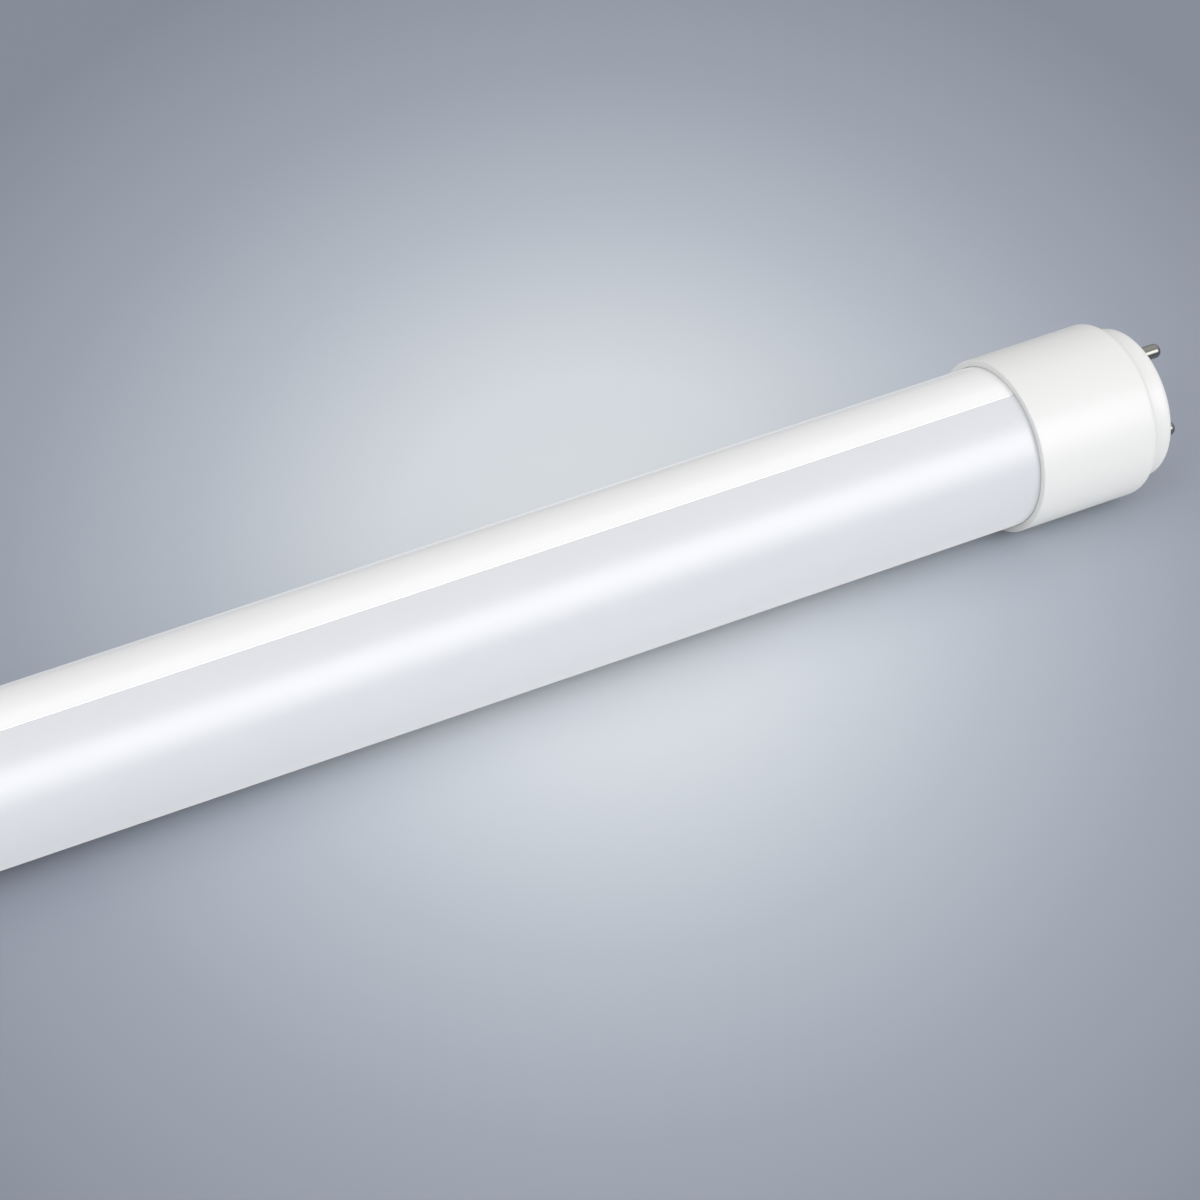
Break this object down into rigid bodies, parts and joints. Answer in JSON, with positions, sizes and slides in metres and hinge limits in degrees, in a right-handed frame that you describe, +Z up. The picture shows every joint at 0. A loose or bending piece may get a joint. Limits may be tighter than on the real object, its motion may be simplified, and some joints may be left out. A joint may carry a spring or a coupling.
{
  "type": "led tube",
  "caption": "Straight tubular lamp with an aluminium back, a milky window along the front, and a stepped white cap with contact pins at each end.",
  "frame": {"origin": "middle of the lamp on the axis of its tube, which is the centre of its box", "axes": "+X along the tube towards the end that holds the supply board, -Y the way the light leaves, +Z up. The plane of the pins stands turned 20 degrees from +Z towards +Y"},
  "size_m": [0.604, 0.028, 0.028],
  "materials": {
    "coated_aluminium": "smooth white powder coat",
    "frosted_polycarbonate": "milky, satin extruded",
    "white_board": "white solder mask",
    "chip_package": "yellow phosphor in a white package",
    "insulating_film": "clear film",
    "green_board": "green solder mask",
    "resistor_coating": "epoxy coat",
    "varistor_coating": "blue epoxy coat",
    "potted_box": "moulded box",
    "black_epoxy": "moulded epoxy",
    "can_sleeve": "shrink sleeve on an aluminium can",
    "ferrite": "sintered ferrite",
    "copper_wire": "enamelled copper",
    "wire_insulation": "white silicone insulation",
    "cap_plastic": "moulded white polycarbonate",
    "screw_steel": "zinc plated",
    "plated_brass": "nickel plated"
  },
  "bodies": {
    "root": {"rear_housing": "coated_aluminium", "diffuser_window": "frosted_polycarbonate", "light_board": "white_board", "light_chips": "chip_package", "driver_sleeve": "insulating_film", "driver_board": "green_board", "fuse_resistor": "resistor_coating", "surge_varistor": "varistor_coating", "film_capacitor": "potted_box", "bridge_rectifier": "black_epoxy", "driver_controller": "black_epoxy", "output_diode": "black_epoxy", "input_capacitor": "can_sleeve", "output_capacitor": "can_sleeve", "inductor_core": "ferrite", "inductor_winding": "copper_wire", "upper_supply_wire": "wire_insulation", "lower_supply_wire": "wire_insulation", "negative_light_wire": "wire_insulation", "positive_light_wire": "wire_insulation", "far_pin_link": "wire_insulation", "supply_end_cap": "cap_plastic", "supply_pin_base": "cap_plastic", "supply_cap_screws": "screw_steel", "supply_upper_pin": "plated_brass", "supply_lower_pin": "plated_brass", "far_end_cap": "cap_plastic", "far_pin_base": "cap_plastic", "far_cap_screws": "screw_steel", "far_upper_pin": "plated_brass", "far_lower_pin": "plated_brass"}
  },
  "joints": []
}
